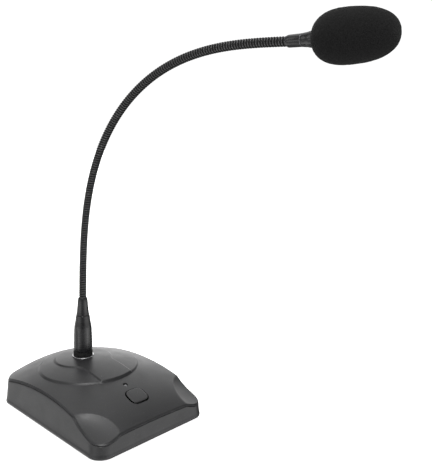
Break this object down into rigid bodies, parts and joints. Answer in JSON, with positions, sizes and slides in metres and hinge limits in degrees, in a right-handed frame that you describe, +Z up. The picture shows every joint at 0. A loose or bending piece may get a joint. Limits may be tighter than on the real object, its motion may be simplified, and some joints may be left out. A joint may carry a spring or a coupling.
{
  "type": "gooseneck podium microphone",
  "caption": "Desk microphone: weighted base with a talk button and status light, plug-in flexible gooseneck and a capsule under a foam windscreen.",
  "frame": {"origin": "centre of the base on the table, at the underside of the anti-slip pad", "axes": "+Z up, -Y to the front where the button is, +X along the front edge of the base"},
  "size_m": [0.1332, 0.3654, 0.3762],
  "materials": {
    "shell_plastic": "satin black moulded plastic with a very fine texture",
    "button_plastic": "satin black, a little smoother than the shells",
    "pad_rubber": "matte black rubber sheet",
    "weight_steel": "zinc-plated steel plate",
    "screw_steel": "zinc-plated steel",
    "black_screw": "black oxide steel",
    "contact_metal": "nickel-plated contact",
    "board_laminate": "green solder mask over laminate",
    "insert_plastic": "black insulating plastic",
    "chip_plastic": "black moulding compound",
    "led_lens": "milky grey lens, unlit",
    "capacitor_can": "aluminium can with a plain sleeve",
    "socket_metal": "black lacquered die-cast metal",
    "plug_metal": "satin to semi-gloss black lacquer",
    "grip_rubber": "black rubber",
    "gooseneck_coat": "satin black coat over wound steel, ridges slightly polished",
    "cable_sheath": "black flexible sheath",
    "head_metal": "semi-gloss black lacquer",
    "trim_metal": "bright nickel ring",
    "capsule_can": "plain aluminium can",
    "windscreen_foam": "black open-cell foam"
  },
  "bodies": {
    "base": {"base_lower_shell": "shell_plastic", "base_top_shell": "shell_plastic", "anti_slip_pad": "pad_rubber", "weight_plate": "weight_steel", "case_screw_front_left": "screw_steel", "case_screw_front_right": "screw_steel", "case_screw_rear_left": "screw_steel", "case_screw_rear_right": "screw_steel", "circuit_board": "board_laminate", "board_screw_left": "screw_steel", "board_screw_right": "screw_steel", "talk_switch_body": "insert_plastic", "status_led": "led_lens", "capacitor": "capacitor_can", "audio_driver_chip": "chip_plastic", "output_socket_shell": "socket_metal", "output_socket_insert": "insert_plastic", "output_pin_1": "contact_metal", "output_pin_2": "contact_metal", "output_pin_3": "contact_metal", "socket_screw_left": "black_screw", "socket_screw_right": "black_screw", "neck_socket_cup": "socket_metal", "neck_socket_insert": "insert_plastic"},
    "button": {"button_cap": "button_plastic"},
    "plug": {"plug_barrel": "plug_metal", "plug_grip_ring": "grip_rubber", "strain_sleeve": "plug_metal", "plug_insert": "insert_plastic", "plug_pin_1": "contact_metal", "plug_pin_2": "contact_metal", "plug_pin_3": "contact_metal", "gooseneck_root": "gooseneck_coat", "signal_cable_root": "cable_sheath"},
    "neck_1": {"gooseneck_1": "gooseneck_coat", "signal_cable_1": "cable_sheath"},
    "neck_2": {"gooseneck_2": "gooseneck_coat", "signal_cable_2": "cable_sheath"},
    "neck_3": {"gooseneck_3": "gooseneck_coat", "signal_cable_3": "cable_sheath"},
    "neck_4": {"gooseneck_4": "gooseneck_coat", "signal_cable_4": "cable_sheath"},
    "neck_5": {"gooseneck_5": "gooseneck_coat", "signal_cable_5": "cable_sheath"},
    "neck_6": {"gooseneck_6": "gooseneck_coat", "signal_cable_6": "cable_sheath"},
    "neck_7": {"gooseneck_7": "gooseneck_coat", "signal_cable_7": "cable_sheath"},
    "head": {"gooseneck_tip": "gooseneck_coat", "signal_cable_tip": "cable_sheath", "head_collar": "head_metal", "collar_trim_ring": "trim_metal", "capsule_housing": "head_metal", "mic_capsule": "capsule_can", "capsule_gasket": "grip_rubber", "capsule_grille": "head_metal"},
    "foam": {"foam_windscreen": "windscreen_foam"}
  },
  "joints": [
    {"name": "button_press", "type": "slide", "parent": "base", "child": "button", "axis": [0, 0, -1], "range_m": [0, 0.0015], "stiffness_N_per_m": 800, "springref_m": -0.001},
    {"name": "neck_unplug", "type": "slide", "parent": "base", "child": "plug", "axis": [0, 0, 1], "range_m": [0, 0.03]},
    {"name": "neck_bend_1", "type": "hinge", "parent": "plug", "child": "neck_1", "pos_m": [0.00001, 0.03261, 0.117], "axis": [0.9927, 0.1207, 0], "range_deg": [-22, 14]},
    {"name": "neck_swing_2", "type": "hinge", "parent": "neck_1", "child": "neck_2", "pos_m": [0.00029, 0.03035, 0.17037], "axis": [0.1202, -0.9893, -0.0832], "range_deg": [-18, 18]},
    {"name": "neck_bend_3", "type": "hinge", "parent": "neck_2", "child": "neck_3", "pos_m": [0.00134, 0.02171, 0.22301], "axis": [0.9927, 0.1207, 0], "range_deg": [-22, 14]},
    {"name": "neck_bend_4", "type": "hinge", "parent": "neck_3", "child": "neck_4", "pos_m": [0.0038, 0.00144, 0.2722], "axis": [0.9927, 0.1207, 0], "range_deg": [-22, 14]},
    {"name": "neck_swing_5", "type": "hinge", "parent": "neck_4", "child": "neck_5", "pos_m": [0.00792, -0.0325, 0.31295], "axis": [0.0784, -0.6449, -0.7603], "range_deg": [-18, 18]},
    {"name": "neck_bend_6", "type": "hinge", "parent": "neck_5", "child": "neck_6", "pos_m": [0.01342, -0.07774, 0.34038], "axis": [0.9927, 0.1207, 0], "range_deg": [-22, 14]},
    {"name": "neck_swing_7", "type": "hinge", "parent": "neck_6", "child": "neck_7", "pos_m": [0.01966, -0.12907, 0.35322], "axis": [0.0145, -0.1196, -0.9927], "range_deg": [-18, 18]},
    {"name": "neck_bend_8", "type": "hinge", "parent": "neck_7", "child": "head", "pos_m": [0.0261, -0.18202, 0.35547], "axis": [0.9927, 0.1207, 0], "range_deg": [-22, 14]},
    {"name": "windscreen_pull", "type": "slide", "parent": "head", "child": "foam", "axis": [0.1206, -0.9923, 0.0279], "range_m": [0, 0.06]}
  ]
}
